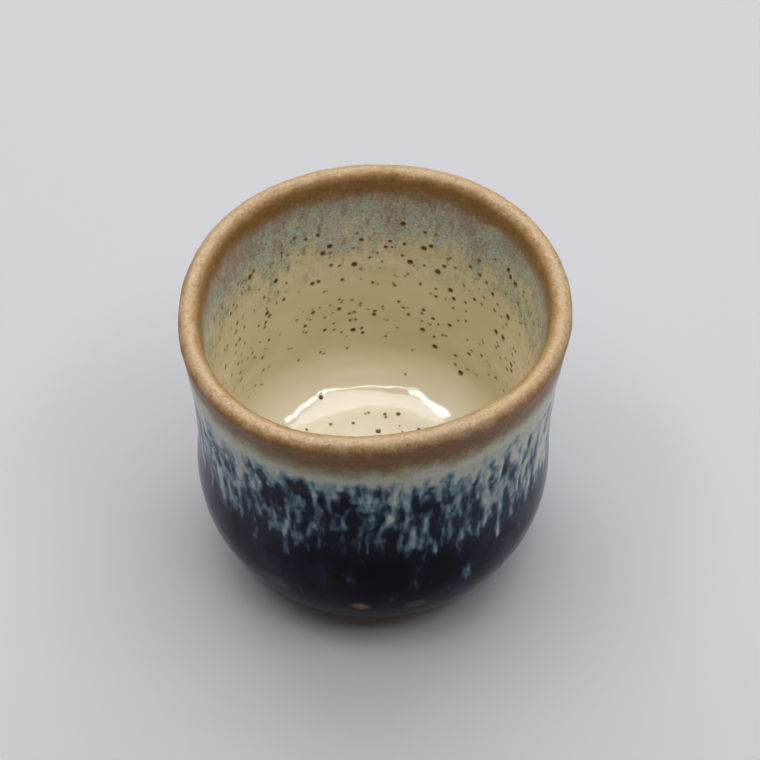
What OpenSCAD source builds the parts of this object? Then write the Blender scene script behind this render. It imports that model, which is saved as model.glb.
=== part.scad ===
// Guinomi, a small hand-thrown sake cup, as its thrown clay, its turned foot and its fired coats of glaze.
// Sizes are in millimetres. The origin is on the table under the middle of the mouth, with +Z up.
// Turns round the cup are in degrees from +X towards +Y, and the side that faces -Y is its front.
// The nominal surface is that of the first coats. A depth is counted from it into the clay.

/* [Wall] */
// Height from the table to the highest place of the lip
cup_h = 58.5; // [54:0.5:66]
// Mean outside radius of the lip, over its glaze
lip_r = 32; // [31:0.25:37]
// Thickness of the rounded lip, glaze included
lip_t = 3.5; // [2.6:0.1:4.5]
// Outside radius of the wall at its waist
waist_r = 30.1; // [28:0.1:31.5]
// Height of the waist above the table
waist_z = 30; // [26:0.5:36]
// Outside radius of the wall where the lower corner starts to turn in
belly_r = 30.7; // [29:0.1:34]
// Thickness of the wall at that height, glaze included
heel_t = 4.6; // [3.6:0.1:6]

/* [Lower corner] */
// How far the outside corner turns in towards the foot
corner_w = 10; // [6:0.5:11.5]
// How high the outside corner rises from the underside
corner_h = 16; // [11:0.5:18]
// How far the inside corner reaches over the floor
well_w = 11; // [6:0.5:14]
// How high the inside corner rises from the floor
well_h = 9; // [6:0.5:12]

/* [Floor and foot] */
// Thickness of the floor at its edge, glaze included
floor_t = 4.8; // [3.5:0.1:7]
// How far the floor dips towards its middle
floor_dip = 0.5; // [0.1:0.1:1.2]
// How far the underside rises inside the foot ring
recess_dip = 0.8; // [0.2:0.1:1.5]
// Height of the foot ring
foot_h = 2.8; // [2:0.1:5]
// Outside radius of the foot ring where it meets the body
foot_r = 18; // [15:0.25:20]
// Width of the foot ring where it meets the body
foot_w = 4.2; // [3.4:0.1:6]
// How far each side of the foot ring slopes in towards the table
foot_slope = 0.5; // [0.2:0.1:1]
// Width of the bevel along each lower edge of the foot ring
foot_bevel = 0.4; // [0.2:0.1:0.7]

/* [Glaze] */
// Thickness of the first coats, inside and outside
coat_t = 0.45; // [0.25:0.05:0.7]
// Thickness of the second coat, which the mouth was dipped in
over_t = 0.3; // [0.15:0.05:0.5]
// Distance from the crest down to the end of the brown lip zone, outside
lip_out = 10; // [7:0.5:13]
// Distance from the crest down to the end of the brown lip zone, inside
lip_in = 8.5; // [6:0.5:12]
// Mean distance from the crest down to the second coat's edge, outside
streak_drop = 28; // [24:0.5:32]
// How far that edge wanders up and down
streak_wave = 2.5; // [0:0.25:4]
// Mean distance from the crest down to the second coat's edge, inside
veil_drop = 19; // [16:0.5:24]
// How far that edge wanders up and down
veil_wave = 1.2; // [0:0.1:2]
// Height above the underside at which the outside glaze stops
glaze_stop = 1.2; // [0.6:0.1:3]

/* [Glaze runs] */
// Length of the shortest run below the second coat's outside edge
run_min = 3; // [2:0.5:5]
// Length of the longest run
run_max = 8; // [5.5:0.5:10]
// Width of a run along its middle
run_w = 1.5; // [0.9:0.1:1.8]
// Rise of the bead at a run's end
bead_t = 0.55; // [0.3:0.05:0.9]
// Share of the columns round the cup that carry a run
run_share = 0.45; // [0.1:0.05:0.9]
// Which draw of places and lengths is used
run_draw = 7; // [1:1:99]

/* [Hand-thrown shape] */
// How far the mouth leans off the foot towards +X
lean_x = 0.38; // [-0.8:0.02:0.8]
// How far the mouth leans off the foot towards +Y
lean_y = 0.36; // [-0.8:0.02:0.8]
// How far the mouth is oval, as a share of its radius
oval_share = 0.0146; // [0:0.0004:0.03]
// Turn of the oval's long way
oval_turn = 30; // [0:1:179]
// How far the mouth is three-sided, as a share of its radius
trio_share = 0.0085; // [0:0.0005:0.02]
// Turn of its first corner
trio_turn = 102; // [0:1:119]
// How far the mouth is four-sided, as a share of its radius
quad_share = 0.0069; // [0:0.0003:0.015]
// Turn of its first corner
quad_turn = 49; // [0:1:89]
// How far the rim tilts up on its high side
tilt_rise = 0.36; // [0:0.02:1]
// Turn of the high side
tilt_turn = 352; // [0:1:359]
// Rise of the rim's two swells
swell_rise = 0.3; // [0:0.02:0.8]
// Turn of the first of them
swell_turn = 123; // [0:1:179]
// Rise of the rim's three small waves
ripple_rise = 0.21; // [0:0.01:0.6]
// Turn of the first of them
ripple_turn = 43; // [0:1:119]

/* [Hidden] */

// Columns of facets round the cup, and rows of facets along each stretch of its section
columns = 64;
bare_rows = 2;
corner_rows = 5;
low_rows = 3;
streak_rows = 3;
band_rows = 2;
round_rows = 6;
veil_rows = 3;
bore_rows = 3;
well_rows = 5;
floor_rows = 2;
// Smallest ring of the floor and of the underside, as a share of that surface's radius
hub_share = 0.15;
ring_smoothness = 120;

// The second coat's edges wander in waves: how many go round, where each starts and its share
edge_waves = [3, 7, 13, 19];
edge_starts = [20, 110, 250, 75];
edge_shares = [0.22, 0.3, 0.28, 0.2];
// Start of the waves inside, against those outside
veil_start = 90;

// A run's section and outline: places along it, with its width and rise there, as shares
run_place_shares = [0, 0.22, 0.48, 0.72, 0.89, 1];
run_width_shares = [1.5, 1.05, 0.85, 0.95, 1.1, 0.5];
run_rise_shares = [1, 0.6, 0.55, 0.8, 1, 0.35];
run_side_shares = [-0.5, -0.3, 0, 0.3, 0.5];
run_crown_shares = [0, 0.75, 1, 0.75, 0];

function mix(from, to, share) = from + (to - from) * share;
function smooth(share) = share * share * (3 - 2 * share);
function smooth_slope(share) = 6 * share * (1 - share);
function clamp(share) = max(0, min(1, share));

turns = [for (i = [0:columns - 1]) 360 * i / columns];

// Out-of-round of the mouth, as a share of its radius
function lobes(a) =
    oval_share * cos(2 * (a - oval_turn))
    + trio_share * cos(3 * (a - trio_turn))
    + quad_share * cos(4 * (a - quad_turn));

// Height of the rim against its mean
function rim_wave(a) =
    tilt_rise * cos(a - tilt_turn)
    + swell_rise * cos(2 * (a - swell_turn))
    + ripple_rise * cos(3 * (a - ripple_turn));
top_wave = max([for (a = turns) rim_wave(a)]);

lip_round = lip_t / 2;
lip_z = cup_h - lip_round - top_wave;
mouth_r = lip_r - over_t;
belly_z = foot_h - coat_t + corner_h;
floor_z = foot_h + floor_t;
well_z = floor_z + well_h;
crest_z = lip_z + lip_round;
band_z = crest_z - lip_out;
rim_z = crest_z - lip_in;

// The mouth is moved so that its outline lies evenly about the origin
mouth_x = [for (a = turns) lip_r * (1 + lobes(a)) * cos(a)];
mouth_y = [for (a = turns) lip_r * (1 + lobes(a)) * sin(a)];
shift_x = -(max(mouth_x) + min(mouth_x)) / 2;
shift_y = -(max(mouth_y) + min(mouth_y)) / 2;

// How fully the hand-thrown shape shows at a height: not at the belly, and wholly at the lip
function rise(z) = clamp((z - belly_z) / (lip_z - belly_z));

// Outside radius of the wall, and how it leans out with height
function wall_r(z) = z < waist_z
    ? mix(belly_r, waist_r, smooth(clamp((z - belly_z) / (waist_z - belly_z))))
    : mix(waist_r, mouth_r, pow((z - waist_z) / (lip_z - waist_z), 2));
function wall_slope(z) = z < waist_z
    ? smooth_slope(clamp((z - belly_z) / (waist_z - belly_z))) * (waist_r - belly_r) / (waist_z - belly_z)
    : 2 * (mouth_r - waist_r) * (z - waist_z) / pow(lip_z - waist_z, 2);

// The wall between the nominal surfaces is thickest at the belly
top_t = lip_t - 2 * over_t;
function wall_t(z) = mix(heel_t, top_t, smooth(rise(z)));
function bore_r(z) = wall_r(max(z, belly_z)) - wall_t(z);
function bore_slope(z) =
    wall_slope(max(z, belly_z)) - smooth_slope(rise(z)) * (top_t - heel_t) / (lip_z - belly_z);

// Each place on the nominal section is its radius, its height and the turn of its outward normal
function wall_at(z) = [wall_r(z), z, -atan(wall_slope(z))];
function bore_at(z) = [bore_r(z), z, 180 - atan(bore_slope(z))];
function corner_at(t) = [
    belly_r - corner_w * (1 - cos(t)),
    belly_z - corner_h * sin(t),
    -atan2(corner_w * sin(t), corner_h * cos(t))
];
function lip_at(t) = [
    lip_r - lip_round + (lip_round - over_t) * cos(t),
    lip_z + (lip_round - over_t) * sin(t),
    t
];
function well_at(t) = [
    bore_r(well_z) - well_w * (1 - cos(t)),
    well_z - well_h * sin(t),
    180 - atan2(well_w * sin(t), well_h * cos(t))
];
floor_r = bore_r(well_z) - well_w;
function floor_at(share) = [
    floor_r * share,
    floor_z - floor_dip * smooth(1 - share),
    90 + atan(smooth_slope(1 - share) * floor_dip / floor_r)
];
function underside_at(r, z) = [r, z - coat_t, -90];

// A place on the section turned to one side of the cup, at a depth
function at(a, place, depth) =
    let (
        share = rise(place[1]),
        r = (place[0] - depth * cos(place[2])) * (1 + share * lobes(a)),
        z = place[1] - depth * sin(place[2]) + share * rim_wave(a)
    )
    [r * cos(a) + mix(-lean_x, shift_x, share), r * sin(a) + mix(-lean_y, shift_y, share), z];

// The lower edges of the second coat, which wander between -1 and 1 times their wave
function edge_wave(a, start) =
    edge_shares * [for (i = [0:len(edge_waves) - 1]) sin(edge_waves[i] * a + edge_starts[i] + start)];
function streak_z(a) = crest_z - streak_drop + streak_wave * edge_wave(a, 0);
function veil_z(a) = crest_z - veil_drop + veil_wave * edge_wave(a, veil_start);

stop_turn = asin((belly_z - foot_h - glaze_stop) / corner_h);
out_lean = atan(wall_slope(lip_z));
in_lean = atan(bore_slope(lip_z));
out_top_z = lip_z - (lip_round - over_t) * sin(out_lean);
in_top_z = lip_z + (lip_round - over_t) * sin(in_lean);
foot_in_r = foot_r - foot_w;

// Rows of places along the section, from the underside up, over the lip and down to the floor
function streak_section(a) = [
    for (i = [0:streak_rows]) wall_at(mix(streak_z(a), band_z, i / streak_rows))
];
function base_section(a) = concat(
    [for (i = [0:corner_rows]) corner_at(stop_turn * (1 - i / corner_rows))],
    [for (i = [1:low_rows - 1]) wall_at(mix(belly_z, streak_z(a), i / low_rows))],
    streak_section(a)
);
function lip_section(a) = concat(
    [for (i = [0:band_rows]) wall_at(mix(band_z, out_top_z, i / band_rows))],
    [for (i = [1:round_rows]) lip_at(mix(-out_lean, 180 - in_lean, i / round_rows))],
    [for (i = [1:band_rows]) bore_at(mix(in_top_z, rim_z, i / band_rows))]
);
function veil_section(a) = [
    for (i = [0:veil_rows]) bore_at(mix(rim_z, veil_z(a), i / veil_rows))
];
function liner_section(a) = concat(
    veil_section(a),
    [for (i = [1:bore_rows]) bore_at(mix(veil_z(a), well_z, i / bore_rows))],
    [for (i = [1:well_rows]) well_at(90 * i / well_rows)],
    [for (i = [1:floor_rows]) floor_at(mix(1, hub_share, i / floor_rows))]
);

// The place at a height on the straight facets between the rows of a section that rises
function facet_at(rows, z) =
    let (
        below = max([for (i = [0:len(rows) - 2]) if (i == 0 || rows[i][1] <= z) i]),
        from = rows[below],
        to = rows[below + 1]
    )
    mix(from, to, (z - from[1]) / (to[1] - from[1]));

function without_first(list) = [for (i = [1:len(list) - 1]) list[i]];
function clay_section(a) = concat(
    [underside_at(foot_in_r * hub_share, foot_h + recess_dip), underside_at(foot_in_r, foot_h)],
    [for (i = [0:bare_rows - 1]) corner_at(mix(90, stop_turn, i / bare_rows))],
    base_section(a),
    without_first(lip_section(a)),
    without_first(liner_section(a))
);

// Points of one surface, column by column
function surface_points(section, depth) = [for (a = turns) for (place = section(a)) at(a, place, depth)];

// Its facets, seen clockwise from the side that the section's normals point to, or else turned over
function surface_faces(rows, first, over) = [
    for (i = [0:columns - 1], k = [0:rows - 2], half = [0, 1])
        let (
            here = first + i * rows + k,
            next = first + (i + 1) % columns * rows + k,
            corners = half == 0 ? [here, here + 1, next + 1] : [here, next + 1, next]
        )
        over ? [corners[0], corners[2], corners[1]] : corners
];

// The strip that joins two surfaces along one row
function edge_faces(rows, row, second, over) = [
    for (i = [0:columns - 1], half = [0, 1])
        let (
            here = i * rows + row,
            next = (i + 1) % columns * rows + row,
            corners = half == 0 ? [here, next, second + next] : [here, second + next, second + here]
        )
        over ? [corners[0], corners[2], corners[1]] : corners
];

// The flat disc that closes a surface at one row
function disc_face(rows, row, first, over) = [
    for (i = [0:columns - 1]) first + (over ? columns - 1 - i : i) * rows + row
];

// A coat that goes right round, between two depths. The last row is an open edge, or the hub of a floor.
module coat(section, top_depth, under_depth, to_hub = false) {
    rows = len(section(0));
    second = rows * columns;
    hub = [disc_face(rows, rows - 1, 0, true), disc_face(rows, rows - 1, second, false)];
    polyhedron(
        points = concat(surface_points(section, top_depth), surface_points(section, under_depth)),
        faces = concat(
            surface_faces(rows, 0, false),
            surface_faces(rows, second, true),
            edge_faces(rows, 0, second, false),
            to_hub ? hub : edge_faces(rows, rows - 1, second, true)
        ),
        convexity = 10
    );
}

// The thrown wall and floor, as one solid of clay under the coats
module clay_body() {
    rows = len(clay_section(0));
    color("#a98a66")
    polyhedron(
        points = surface_points(function(a) clay_section(a), coat_t),
        faces = concat(
            surface_faces(rows, 0, false),
            [disc_face(rows, 0, 0, false), disc_face(rows, rows - 1, 0, true)]
        ),
        convexity = 10
    );
}

// The turned ring that the cup stands on, left bare of glaze
module foot_ring() {
    color("#b08d66")
    translate([-lean_x, -lean_y, 0])
    rotate_extrude($fn = ring_smoothness)
    polygon([
        [foot_in_r, foot_h],
        [foot_in_r + foot_slope, foot_bevel],
        [foot_in_r + foot_slope + foot_bevel, 0],
        [foot_r - foot_slope - foot_bevel, 0],
        [foot_r - foot_slope, foot_bevel],
        [foot_r, foot_h]
    ]);
}

// The cream coat that was poured inside, from the lip zone to the middle of the floor
module liner_glaze() {
    color("#cfc9a8")
    coat(function(a) liner_section(a), 0, coat_t, to_hub = true);
}

// The dark coat outside, from just above the underside to the lip zone
module base_glaze() {
    color("#1d2231")
    coat(function(a) base_section(a), 0, coat_t);
}

// The second coat where it is thin over the crest and has fired brown
module lip_glaze() {
    color("#9a774f")
    coat(function(a) lip_section(a), -over_t, coat_t);
}

// The second coat where it lies over the dark coat
module outer_overglaze() {
    color("#86a9b5")
    coat(function(a) streak_section(a), -over_t, 0);
}

// The second coat where it lies over the cream coat
module inner_overglaze() {
    color("#9aa39b")
    coat(function(a) veil_section(a), -over_t, 0);
}

// One run of glaze on the dark coat's facets between two columns, fat at its lower end
module run(i, length) {
    a = 360 * i / columns;
    b = 360 * (i + 1) / columns;
    facet_w = 2 * waist_r * sin(180 / columns);
    sides = len(run_side_shares);
    rings = len(run_place_shares);
    points = [
        for (k = [0:rings - 1], s = [0:sides - 1])
            let (
                fall = length * run_place_shares[k],
                depth = -run_crown_shares[s] * run_rise_shares[k] * (k == 0 ? over_t : bead_t),
                across = 0.5 + run_side_shares[s] * run_width_shares[k] * run_w / facet_w
            )
            mix(
                at(a, facet_at(base_section(a), streak_z(a) - fall), depth),
                at(b, facet_at(base_section(b), streak_z(b) - fall), depth),
                across
            )
    ];
    faces = [
        for (k = [0:rings - 2], s = [0:sides - 1], half = [0, 1])
            let (
                here = k * sides + s,
                next = k * sides + (s + 1) % sides
            )
            half == 0 ? [here, next, next + sides] : [here, next + sides, here + sides]
    ];
    polyhedron(
        points = points,
        faces = concat(
            faces,
            [[for (s = [0:sides - 1]) sides - 1 - s], [for (s = [0:sides - 1]) (rings - 1) * sides + s]]
        )
    );
}

// The runs that ended below the second coat's outside edge
module glaze_runs() {
    chances = rands(0, 1, columns, run_draw);
    lengths = rands(run_min, run_max, columns, run_draw + 1);
    color("#6f9bb3")
    for (i = [0:columns - 1]) {
        if (chances[i] < run_share) run(i, lengths[i]);
    }
}

clay_body();
foot_ring();
liner_glaze();
base_glaze();
lip_glaze();
outer_overglaze();
inner_overglaze();
glaze_runs();
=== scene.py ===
"""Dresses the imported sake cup: glazes with pinholes and runs, bare clay, a pale table and soft light.

Lengths are in metres. Turns round the cup are in radians from +X towards +Y, and its front faces -Y.
A place on the cup's section is its way along the section from the crest: outside negative, inside positive.
Depths are counted from the surface of the first coats into the clay, as in the cup's construction.
"""
import math

import bpy
import numpy as np
from bpy.props import FloatProperty, FloatVectorProperty, IntProperty, PointerProperty
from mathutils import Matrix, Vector


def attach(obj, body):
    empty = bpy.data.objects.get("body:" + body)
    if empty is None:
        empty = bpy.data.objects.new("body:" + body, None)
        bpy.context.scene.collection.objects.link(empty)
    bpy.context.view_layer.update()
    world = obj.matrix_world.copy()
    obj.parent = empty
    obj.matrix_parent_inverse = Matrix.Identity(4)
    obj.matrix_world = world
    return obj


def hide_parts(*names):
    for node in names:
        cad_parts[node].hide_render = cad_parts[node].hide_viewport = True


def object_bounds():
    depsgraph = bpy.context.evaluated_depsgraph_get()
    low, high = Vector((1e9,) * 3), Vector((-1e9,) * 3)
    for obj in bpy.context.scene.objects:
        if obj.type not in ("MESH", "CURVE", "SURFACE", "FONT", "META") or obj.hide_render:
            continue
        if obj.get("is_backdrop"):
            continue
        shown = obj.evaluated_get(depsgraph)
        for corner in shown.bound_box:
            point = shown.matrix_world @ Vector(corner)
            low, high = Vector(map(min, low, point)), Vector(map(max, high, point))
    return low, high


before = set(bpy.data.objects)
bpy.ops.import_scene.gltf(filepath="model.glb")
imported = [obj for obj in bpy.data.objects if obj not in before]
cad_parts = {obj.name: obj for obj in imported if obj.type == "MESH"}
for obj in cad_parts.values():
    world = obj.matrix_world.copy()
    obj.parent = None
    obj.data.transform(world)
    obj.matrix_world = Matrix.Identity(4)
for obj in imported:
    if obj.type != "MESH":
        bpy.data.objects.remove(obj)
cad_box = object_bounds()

bl_info = {
    "name": "Guinomi Sake Cup",
    "version": (1, 0, 0),
    "blender": (4, 5, 0),
    "location": "View3D > Sidebar > Sake Cup",
    "description": "Builds a hand-thrown sake cup with a pinholed liner, a brown lip and a streaked outside",
    "category": "Add Mesh",
}

MM = 0.001
FULL_TURN = 2 * np.pi
BODY = "root"
# Columns round the cup in its construction, by which its height and the middle of its mouth were set
CONSTRUCTION_COLUMNS = 64
# Columns round the fine surfaces
OUTSIDE_COLUMNS, VEIL_COLUMNS, LINER_COLUMNS, CLAY_COLUMNS = 840, 720, 620, 360
# Height above the table where the piece with the runs ends and the dark coat shows alone
RUNS_END_Z = 19.5 * MM
# Depth of plain rows that another coat covers, and the least that the second coat stands proud
HIDDEN_DEPTH, THINNEST = 0.36 * MM, 0.012 * MM


def linear(colour):
    """An sRGB hex colour as linear red, green, blue and a full alpha."""
    shares = [int(colour[i:i + 2], 16) / 255 for i in (1, 3, 5)]
    return [s / 12.92 if s <= 0.04045 else ((s + 0.055) / 1.055) ** 2.4 for s in shares] + [1]


def length_property(name, millimetres, description):
    """A length, which is kept in metres."""
    return FloatProperty(name=name, description=description, default=millimetres * MM, unit="LENGTH")


def turn_property(name, degrees, description):
    """An angle, which is kept in radians."""
    return FloatProperty(name=name, description=description, default=math.radians(degrees), unit="ROTATION")


def count_property(name, count, description):
    """A whole number."""
    return IntProperty(name=name, description=description, default=count, min=0)


def colour_property(name, colour, description):
    """A colour, which is given as sRGB hex and kept linear."""
    return FloatVectorProperty(name=name, description=description, default=linear(colour), size=4,
                               subtype="COLOR", min=0, max=1)


class CupSizes(bpy.types.PropertyGroup):
    """The construction's driving sizes, which the fine surfaces follow"""

    cup_h: length_property("Height", 58.5, "Table to the highest place of the lip")
    lip_r: length_property("Lip radius", 32, "Mean outside radius of the lip")
    lip_t: length_property("Lip thickness", 3.5, "Thickness of the rounded lip, glaze included")
    waist_r: length_property("Waist radius", 30.1, "Outside radius of the wall at its waist")
    waist_z: length_property("Waist height", 30, "Height of the waist above the table")
    belly_r: length_property("Belly radius", 30.7, "Outside radius where the lower corner starts")
    heel_t: length_property("Heel thickness", 4.6, "Thickness of the wall at the belly")
    corner_w: length_property("Corner width", 10, "How far the outside corner turns in")
    corner_h: length_property("Corner height", 16, "How high the outside corner rises")
    well_w: length_property("Well width", 11, "How far the inside corner reaches over the floor")
    well_h: length_property("Well height", 9, "How high the inside corner rises")
    floor_t: length_property("Floor thickness", 4.8, "Thickness of the floor at its edge")
    floor_dip: length_property("Floor dip", 0.5, "How far the floor dips to its middle")
    recess_dip: length_property("Recess dip", 0.8, "How far the underside rises in the foot ring")
    foot_h: length_property("Foot height", 2.8, "Height of the foot ring")
    foot_r: length_property("Foot radius", 18, "Outside radius of the foot ring at the body")
    foot_w: length_property("Foot width", 4.2, "Width of the foot ring at the body")
    foot_slope: length_property("Foot slope", 0.5, "How far each side of the foot ring slopes in")
    foot_bevel: length_property("Foot bevel", 0.4, "Bevel along the ring's lower edges")
    coat_t: length_property("First coat", 0.45, "Thickness of the first coats")
    over_t: length_property("Second coat", 0.3, "Thickness of the coat that the mouth was dipped in")
    lip_out: length_property("Lip zone outside", 10, "Crest to the end of the brown zone outside")
    lip_in: length_property("Lip zone inside", 8.5, "Crest to the end of the brown zone inside")
    glaze_stop: length_property("Glaze stop", 1.2, "Underside to the outside glaze's lower edge")


class HandShape(bpy.types.PropertyGroup):
    """How the potter's hand left the mouth and rim out of true"""

    lean_x: length_property("Lean to the right", 0.38, "How far the mouth leans off the foot")
    lean_y: length_property("Lean to the back", 0.36, "How far the mouth leans off the foot")
    oval_share: FloatProperty(name="Oval", description="Oval of the mouth, as a share of its radius",
                              default=0.0146)
    oval_turn: turn_property("Turn of the oval", 30, "Turn of its long way")
    trio_share: FloatProperty(name="Three sides", description="Three-sided part of the mouth's outline",
                              default=0.0085)
    trio_turn: turn_property("Turn of the three", 102, "Turn of its first corner")
    quad_share: FloatProperty(name="Four sides", description="Four-sided part of the mouth's outline",
                              default=0.0069)
    quad_turn: turn_property("Turn of the four", 49, "Turn of its first corner")
    tilt_rise: length_property("Tilt", 0.36, "Rise of the rim on its high side")
    tilt_turn: turn_property("Turn of the tilt", 352, "Turn of the high side")
    swell_rise: length_property("Swells", 0.3, "Rise of the rim's two swells")
    swell_turn: turn_property("Turn of the swells", 123, "Turn of the first of them")
    ripple_rise: length_property("Ripples", 0.21, "Rise of the rim's three small waves")
    ripple_turn: turn_property("Turn of the ripples", 43, "Turn of the first of them")


class GlazeSettings(bpy.types.PropertyGroup):
    """How the glazes ran, pitted and coloured in the kiln"""

    stroke_count: count_property("Strokes", 520, "Short strokes where the second coat ran")
    drip_count: count_property("Drips", 90, "Drips at the lower edge of the second coat")
    drip_w: length_property("Drip width", 0.66, "Mean width of a drip")
    drip_mean: length_property("Drip length", 5.2, "Mean length of a drip")
    drip_longest: length_property("Longest drip", 9.5, "Length that no drip exceeds")
    notch_count: count_property("Notches", 120, "Dark notches under the pale band")
    bead_t: length_property("Bead", 0.2, "Rise of the bead at a drip's end")
    veil_fade: length_property("Veil end", 22.5, "Crest to where the inside veil has thinned away")
    stain_count: count_property("Stains", 110, "Soft brown stains in the veil")
    pit_count: count_property("Pinholes", 820, "Pinholes scattered over the inside")
    pit_r: length_property("Pinhole radius", 0.24, "Radius of a middling pinhole")
    ring_pitch: length_property("Throwing rings", 4.6, "Height from one throwing ring to the next")
    ring_rise: length_property("Ring rise", 0.03, "Rise of the throwing rings")
    dark: colour_property("Dark coat", "#060712", "The iron glaze outside, where nothing lies over it")
    cream: colour_property("Cream", "#C2B593", "The liner's middling tone")
    toast: colour_property("Toasted brown", "#734B10", "The thin second coat just outside the crest")
    clay: colour_property("Clay", "#B98F66", "The bare clay's middling tone")
    seed: count_property("Seed", 11, "Which draw of runs, pinholes and noise is used")


class StageSettings(bpy.types.PropertyGroup):
    """The camera, the table and the lights"""

    elevation: turn_property("Elevation", 50.55, "How far the camera stands above the horizon")
    distance: length_property("Distance", 388, "Camera to the middle of the cup")
    lens: FloatProperty(name="Lens", description="Focal length on a 36 mm sensor, in millimetres",
                        default=107.5)
    table: colour_property("Table", "#98989B", "The table's matt grey")


def smooth(share):
    """An even ramp from 0 to 1 with flat ends."""
    share = np.clip(share, 0, 1)
    return share * share * (3 - 2 * share)


def spaced(places, counts):
    """Places from each of these to the next, with so many in each stretch, both its ends included."""
    stretches = zip(places, places[1:], counts)
    return np.concatenate([places[:1], *(np.linspace(*stretch)[1:] for stretch in stretches)])


def turns_round(columns):
    """The turn of each column, evenly round the cup."""
    return np.arange(columns) * FULL_TURN / columns


class CupForm:
    """The cup's nominal section and its hand-thrown shape."""

    corner_rows, wall_rows, floor_rows = 300, 600, 200

    def __init__(self, size, hand):
        self.size, self.hand = size, hand
        around = turns_round(CONSTRUCTION_COLUMNS)
        self.lip_round = size.lip_t / 2
        self.lip_z = size.cup_h - self.lip_round - self.rim_wave(around).max()
        self.crest_z = self.lip_z + self.lip_round
        self.mouth_r = size.lip_r - size.over_t
        self.top_t = size.lip_t - 2 * size.over_t
        self.belly_z = size.foot_h - size.coat_t + size.corner_h
        self.floor_z = size.foot_h + size.floor_t
        self.well_z = self.floor_z + size.well_h
        mouth = size.lip_r * (1 + self.lobes(around))
        ends = [mouth * np.cos(around), mouth * np.sin(around)]
        self.shift = [-(end.max() + end.min()) / 2 for end in ends]
        self.r, self.z, self.lean = self.nominal_section()
        steps = np.hypot(np.diff(self.r), np.diff(self.z))
        way = np.concatenate([[0], np.cumsum(steps)])
        self.way = way - way[np.argmax(self.z)]

    def lobes(self, turn):
        """How far the mouth is out of round, as a share of its radius."""
        hand = self.hand
        return (hand.oval_share * np.cos(2 * (turn - hand.oval_turn))
                + hand.trio_share * np.cos(3 * (turn - hand.trio_turn))
                + hand.quad_share * np.cos(4 * (turn - hand.quad_turn)))

    def rim_wave(self, turn):
        """How far the rim stands above its mean height."""
        hand = self.hand
        return (hand.tilt_rise * np.cos(turn - hand.tilt_turn)
                + hand.swell_rise * np.cos(2 * (turn - hand.swell_turn))
                + hand.ripple_rise * np.cos(3 * (turn - hand.ripple_turn)))

    def rise(self, z):
        """The share of the way up from the belly to the lip."""
        return np.clip((z - self.belly_z) / (self.lip_z - self.belly_z), 0, 1)

    def wall_r(self, z):
        """The wall's radius under the second coat: it narrows to the waist and flares above it."""
        size = self.size
        below = smooth((z - self.belly_z) / (size.waist_z - self.belly_z))
        above = (z - size.waist_z) / (self.lip_z - size.waist_z)
        low = size.belly_r + (size.waist_r - size.belly_r) * below
        high = size.waist_r + (self.mouth_r - size.waist_r) * above ** 2
        return np.where(z < size.waist_z, low, high)

    def bore_r(self, z):
        """The inside's radius, for a wall that thins from the heel to the lip."""
        z = np.maximum(z, self.belly_z)
        return self.wall_r(z) - self.size.heel_t - (self.top_t - self.size.heel_t) * smooth(self.rise(z))

    def nominal_section(self):
        """Radius, height and the outward normal's lean along the section, from the underside to the floor."""
        size = self.size
        quarter = np.linspace(0, np.pi / 2, self.corner_rows)
        bore_low = self.bore_r(np.array(self.well_z))
        out_z = np.linspace(self.belly_z, self.lip_z, self.wall_rows)[1:]
        in_z = np.linspace(self.lip_z, self.well_z, self.wall_rows)[1:]
        over = np.linspace(0, np.pi, self.corner_rows)[1:-1]
        crown = self.lip_round - size.over_t
        share = np.linspace(1, 0, self.floor_rows)[1:]
        down = quarter[::-1]
        r = [size.belly_r - size.corner_w * (1 - np.cos(down)), self.wall_r(out_z),
             size.lip_r - self.lip_round + crown * np.cos(over), self.bore_r(in_z),
             bore_low - size.well_w * (1 - np.cos(quarter[1:])), (bore_low - size.well_w) * share]
        z = [self.belly_z - size.corner_h * np.sin(down), out_z, self.lip_z + crown * np.sin(over), in_z,
             self.well_z - size.well_h * np.sin(quarter[1:]),
             self.floor_z - size.floor_dip * smooth(1 - share)]
        r, z = np.concatenate(r), np.concatenate(z)
        lean = np.unwrap(np.arctan2(-np.gradient(r), np.gradient(z)))
        return r, z, lean

    def way_outside(self, z):
        """The way along the section of a height on the outside."""
        low = self.way <= 0
        return np.interp(z, self.z[low], self.way[low])

    def way_inside(self, z):
        """The way along the section of a height on the inside wall."""
        wall = (self.way >= 0) & (self.z > self.floor_z)
        return np.interp(-z, -self.z[wall], self.way[wall])

    def radius(self, way):
        """The section's radius at a way along it."""
        return np.interp(way, self.way, self.r)

    def at(self, turn, way, depth):
        """Points on the cup, at a turn, a way along its section and a depth."""
        r, z, lean = (np.interp(way, self.way, values) for values in (self.r, self.z, self.lean))
        share = self.rise(z)
        radius = (r - depth * np.cos(lean)) * (1 + share * self.lobes(turn))
        x = radius * np.cos(turn) + share * self.shift[0] - (1 - share) * self.hand.lean_x
        y = radius * np.sin(turn) + share * self.shift[1] - (1 - share) * self.hand.lean_y
        return np.stack([x, y, z - depth * np.sin(lean) + share * self.rim_wave(turn)], -1)


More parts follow.
